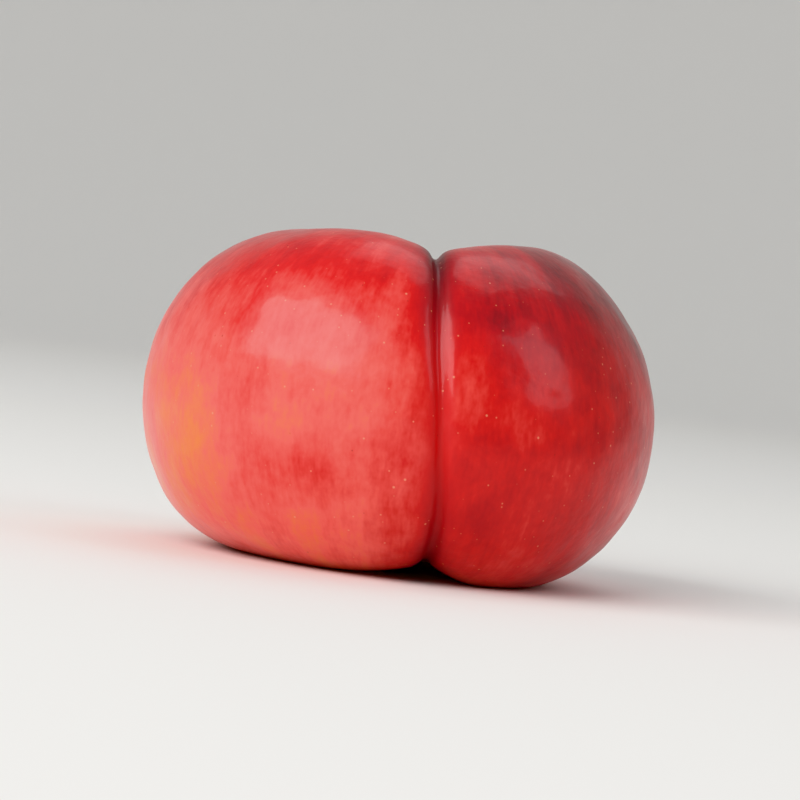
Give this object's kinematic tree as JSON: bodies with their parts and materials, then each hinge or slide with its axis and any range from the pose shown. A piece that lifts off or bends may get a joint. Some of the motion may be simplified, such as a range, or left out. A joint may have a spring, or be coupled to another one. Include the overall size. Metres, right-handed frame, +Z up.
{
  "type": "flat nectarine",
  "caption": "Flat nectarine, as picked: a low, doughnut-like stone fruit with smooth red skin, a suture crease between its cheeks, a stem cavity on top and a basin underneath.",
  "frame": {"origin": "on the table, under the middle of the fruit's box", "axes": "+Z up, out of the stem cavity; -Y out of the suture, the side that the picture shows; +X towards the right cheek, along the longest extent"},
  "size_m": [0.0584, 0.0562, 0.0384],
  "materials": {
    "skin": "smooth, thin, waxy fruit skin with a satin gloss: scarlet to crimson blush over a yellow-orange ground, fine pale dots, brown cork at the stem scar and the blossom scar"
  },
  "bodies": {
    "root": {"nectarine": "skin"}
  },
  "joints": []
}
